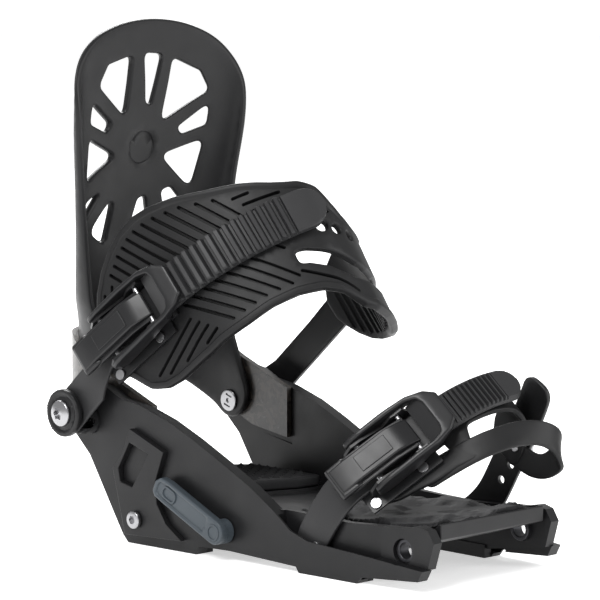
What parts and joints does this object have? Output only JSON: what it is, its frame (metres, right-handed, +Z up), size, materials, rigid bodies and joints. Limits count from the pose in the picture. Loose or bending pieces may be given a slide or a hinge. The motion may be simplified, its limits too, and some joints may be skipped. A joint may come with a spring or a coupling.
{
  "type": "touring snowboard binding",
  "caption": "Touring snowboard binding: side-walled chassis, wrap-around heelcup, windowed folding highback, ratchet ankle and toe straps, and a lever-turned lock.",
  "frame": {"origin": "middle of the footprint, on the sole plane", "axes": "+X towards the toe, along the binding; +Y across it, towards the side without buckles; +Z up"},
  "size_m": [0.315, 0.1512, 0.276],
  "materials": {
    "moulded_black": "satin, fine moulded texture",
    "forged_composite": "marbled chopped-fibre composite, satin lacquer",
    "grip_foam": "matte, moulded relief",
    "strap_rubber": "matte moulded elastomer",
    "strap_tab": "satin",
    "ladder_grey": "satin, ribbed",
    "buckle_black": "satin black anodised",
    "lever_grey": "satin blue-grey",
    "steel": "bright zinc",
    "dark_steel": "dark phosphated steel"
  },
  "bodies": {
    "base": {"chassis": "moulded_black", "heelcup": "forged_composite", "near_cover_plate": "moulded_black", "far_cover_plate": "moulded_black", "near_cover_screw": "steel", "far_cover_screw": "steel", "near_pivot_bush": "dark_steel", "far_pivot_bush": "dark_steel", "near_toe_strap_screw": "steel", "far_toe_strap_screw": "steel", "near_highback_bolt": "steel", "far_highback_bolt": "steel", "near_strap_washer": "moulded_black", "near_strap_bolt": "steel", "far_strap_bolt": "steel", "heel_catch_plate": "dark_steel", "heel_pad": "grip_foam", "toe_ramp": "moulded_black", "toe_pad": "grip_foam"},
    "highback": {"highback": "moulded_black"},
    "lean_block": {"lean_block": "moulded_black", "lean_pin": "steel"},
    "lean_lever": {"lean_lever": "lever_grey"},
    "lock": {"lock_lever": "lever_grey", "lock_shaft": "dark_steel", "near_lock_hook": "steel", "far_lock_hook": "steel"},
    "ankle_strap": {"ankle_pad": "strap_rubber", "ankle_extender": "strap_tab", "ankle_link_screw": "steel", "ankle_buckle_base": "buckle_black", "ankle_lever_pin": "steel", "ankle_release_pin": "steel", "ankle_base_rivet_1": "steel", "ankle_base_rivet_2": "steel"},
    "ankle_ladder": {"ankle_ladder": "ladder_grey"},
    "ankle_buckle_lever": {"ankle_buckle_lever": "buckle_black"},
    "ankle_release_lever": {"ankle_release_lever": "buckle_black"},
    "toe_strap": {"toe_cap": "strap_rubber", "toe_adjuster": "strap_tab", "toe_clamp_screw": "steel", "toe_buckle_base": "buckle_black", "toe_lever_pin": "steel", "toe_release_pin": "steel", "toe_base_rivet_1": "steel", "toe_base_rivet_2": "steel"},
    "toe_ladder": {"toe_ladder": "ladder_grey"},
    "toe_buckle_lever": {"toe_buckle_lever": "buckle_black"},
    "toe_release_lever": {"toe_release_lever": "buckle_black"}
  },
  "joints": [
    {"name": "highback_fold", "type": "hinge", "parent": "base", "child": "highback", "pos_m": [-0.08796, 0.00379, 0.063], "axis": [0, 1, 0], "range_deg": [0, 6]},
    {"name": "lean_adjust", "type": "slide", "parent": "highback", "child": "lean_block", "axis": [0.167, 0, 0.986], "range_m": [0, 0.012]},
    {"name": "lean_lever_open", "type": "hinge", "parent": "lean_block", "child": "lean_lever", "pos_m": [-0.15046, 0.00379, 0.14], "axis": [0, 1, 0], "range_deg": [0, 80]},
    {"name": "lock_turn", "type": "hinge", "parent": "base", "child": "lock", "pos_m": [0.01404, 0.00379, 0.0155], "axis": [0, 1, 0], "range_deg": [0, 120]},
    {"name": "ankle_strap_swing", "type": "hinge", "parent": "base", "child": "ankle_strap", "pos_m": [-0.09546, 0.00379, 0.067], "axis": [0, 1, 0], "range_deg": [-4, 10]},
    {"name": "ankle_ladder_swing", "type": "hinge", "parent": "base", "child": "ankle_ladder", "pos_m": [-0.09546, 0.00379, 0.067], "axis": [0, 1, 0], "range_deg": [-4, 10]},
    {"name": "ankle_buckle_open", "type": "hinge", "parent": "ankle_strap", "child": "ankle_buckle_lever", "pos_m": [-0.06117, -0.06476, 0.10999], "axis": [0.6691, 0, -0.7431], "range_deg": [0, 50]},
    {"name": "ankle_release_lift", "type": "hinge", "parent": "ankle_strap", "child": "ankle_release_lever", "pos_m": [-0.04081, -0.05894, 0.12832], "axis": [0.6691, 0, -0.7431], "range_deg": [-22, 0], "stiffness_Nm_per_rad": 0.02, "springref_deg": 14.32},
    {"name": "toe_strap_swing", "type": "hinge", "parent": "base", "child": "toe_strap", "pos_m": [0.07404, 0.00379, 0.015], "axis": [0, 1, 0], "range_deg": [-6, 6]},
    {"name": "toe_ladder_swing", "type": "hinge", "parent": "base", "child": "toe_ladder", "pos_m": [0.07404, 0.00379, 0.015], "axis": [0, 1, 0], "range_deg": [-6, 6]},
    {"name": "toe_buckle_open", "type": "hinge", "parent": "toe_strap", "child": "toe_buckle_lever", "pos_m": [0.09987, -0.03505, 0.05824], "axis": [0.766, 0, -0.6428], "range_deg": [0, 50]},
    {"name": "toe_release_lift", "type": "hinge", "parent": "toe_strap", "child": "toe_release_lever", "pos_m": [0.11254, -0.01966, 0.07333], "axis": [0.766, 0, -0.6428], "range_deg": [-22, 0], "stiffness_Nm_per_rad": 0.02, "springref_deg": 14.32}
  ],
  "couplings": [
    {"joint": "ankle_ladder_swing", "follows": "ankle_strap_swing", "ratio": 1},
    {"joint": "toe_ladder_swing", "follows": "toe_strap_swing", "ratio": 1}
  ]
}
